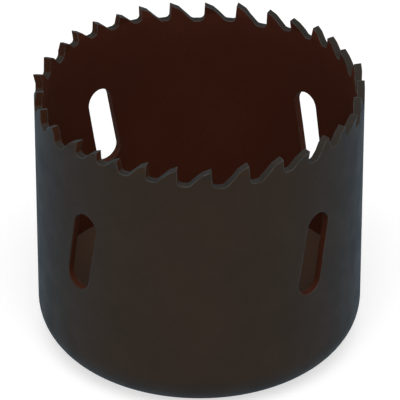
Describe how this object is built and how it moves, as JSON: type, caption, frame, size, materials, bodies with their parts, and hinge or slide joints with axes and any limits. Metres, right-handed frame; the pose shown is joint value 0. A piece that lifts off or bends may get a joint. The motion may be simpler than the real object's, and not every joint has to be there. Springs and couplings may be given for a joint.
{
  "type": "hole saw",
  "caption": "Cup-shaped hole saw: rolled steel wall with set, variable-pitch teeth and slanted plug slots, on a thick end plate with a threaded arbor hole and drive-pin holes.",
  "frame": {"origin": "centre of the flat back of the end plate, on the saw's axis", "axes": "+Z along the axis of rotation from the back towards the teeth; the four plug slots face roughly +X, +Y, -X and -Y"},
  "size_m": [0.0567, 0.0566, 0.0488],
  "materials": {
    "painted_cup": "dark reddish-brown baked coat, semi-gloss, worn to bare steel on the tooth edges",
    "painted_plate": "dark reddish-brown baked coat, semi-gloss, over fine turning marks"
  },
  "bodies": {
    "root": {"toothed_cup": "painted_cup", "end_plate": "painted_plate"}
  },
  "joints": []
}
